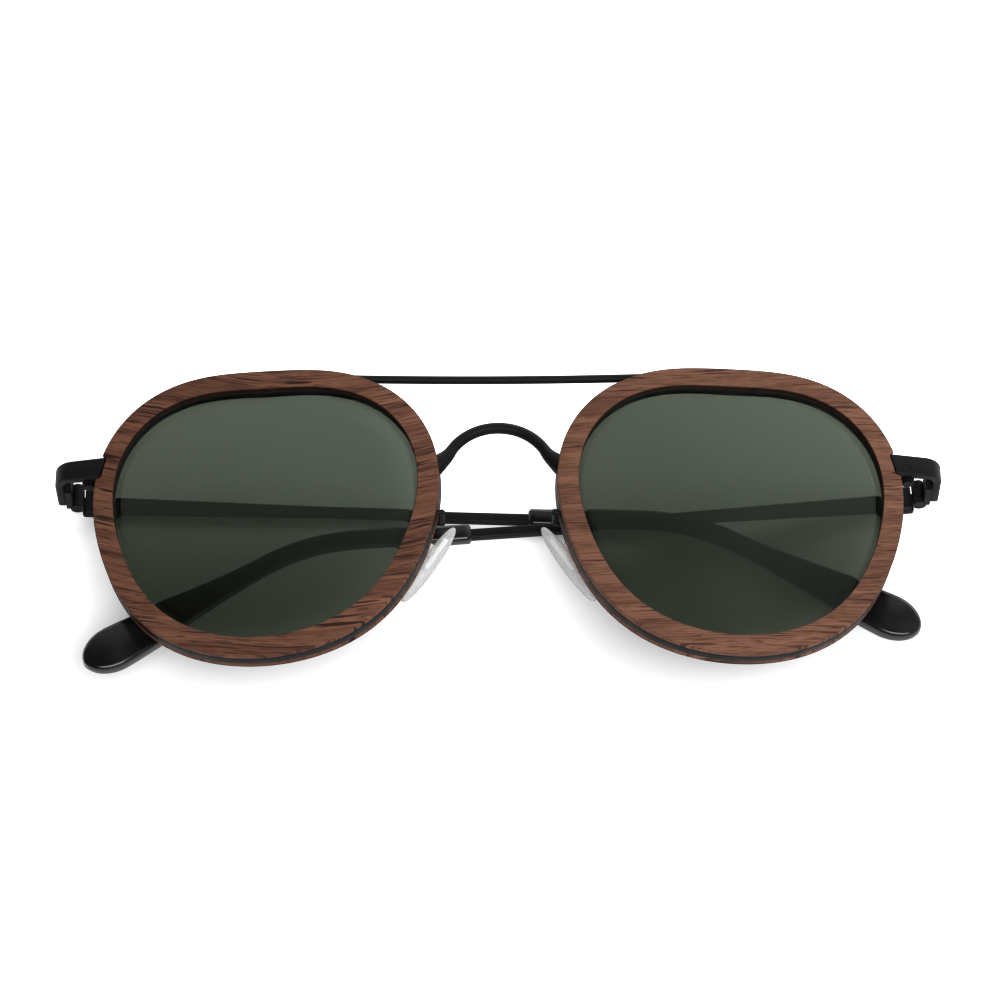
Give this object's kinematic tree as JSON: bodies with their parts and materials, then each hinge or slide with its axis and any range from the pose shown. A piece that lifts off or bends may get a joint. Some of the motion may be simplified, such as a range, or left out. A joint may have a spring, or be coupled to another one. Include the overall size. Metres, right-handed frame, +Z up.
{
  "type": "sunglasses",
  "caption": "Folding sunglasses with rounded walnut-faced rims, grey-green lenses, a black metal saddle bridge, top bar and hinges, clear nose pads and acetate-tipped temples.",
  "frame": {"origin": "middle of the bounding box on the surface that the folded sunglasses lie on", "axes": "+X to the right as seen from the front, +Y towards the brow, +Z up, out of the front of the lenses"},
  "size_m": [0.1476, 0.0536, 0.0196],
  "materials": {
    "walnut_left": "oiled walnut",
    "walnut_right": "oiled walnut",
    "black_metal": "satin black",
    "lens": "polished, tinted grey-green",
    "acetate": "polished black acetate",
    "pad_silicone": "clear soft silicone",
    "pad_insert": "clear rigid insert"
  },
  "bodies": {
    "front": {"front_ply_left": "walnut_left", "front_ply_right": "walnut_right", "rim_left": "black_metal", "rim_right": "black_metal", "back_ply_left": "walnut_left", "back_ply_right": "walnut_right", "lens_left": "lens", "lens_right": "lens", "bridge": "black_metal", "top_bar": "black_metal", "endpiece_left": "black_metal", "endpiece_right": "black_metal", "rivets": "black_metal", "rim_lock_left": "black_metal", "rim_lock_right": "black_metal", "lock_screws": "black_metal", "hinge_front_left": "black_metal", "hinge_front_right": "black_metal", "hinge_screws": "black_metal", "pad_arm_left": "black_metal", "pad_arm_right": "black_metal", "pad_screws": "black_metal"},
    "temple_left": {"temple_leaf_left": "black_metal", "temple_left": "black_metal", "tip_left": "acetate"},
    "temple_right": {"temple_leaf_right": "black_metal", "temple_right": "black_metal", "tip_right": "acetate"},
    "pad_left": {"pad_core_left": "pad_insert", "nose_pad_left": "pad_silicone"},
    "pad_right": {"pad_core_right": "pad_insert", "nose_pad_right": "pad_silicone"}
  },
  "joints": [
    {"name": "temple_left_fold", "type": "hinge", "parent": "front", "child": "temple_left", "pos_m": [-0.07061, 0.0115, 0.0032], "axis": [-0.0366, 0.9993, 0], "range_deg": [0, 90]},
    {"name": "temple_right_fold", "type": "hinge", "parent": "front", "child": "temple_right", "pos_m": [0.07061, 0.0115, 0.0032], "axis": [0.0366, -0.9993, 0], "range_deg": [0, 93.6]},
    {"name": "pad_left_swivel", "type": "hinge", "parent": "front", "child": "pad_left", "pos_m": [-0.01239, -0.00274, 0.01175], "axis": [-0.1324, 0.3279, -0.9354], "range_deg": [-10, 10]},
    {"name": "pad_right_swivel", "type": "hinge", "parent": "front", "child": "pad_right", "pos_m": [0.01239, -0.00274, 0.01175], "axis": [-0.1324, -0.3279, 0.9354], "range_deg": [-10, 10]}
  ]
}
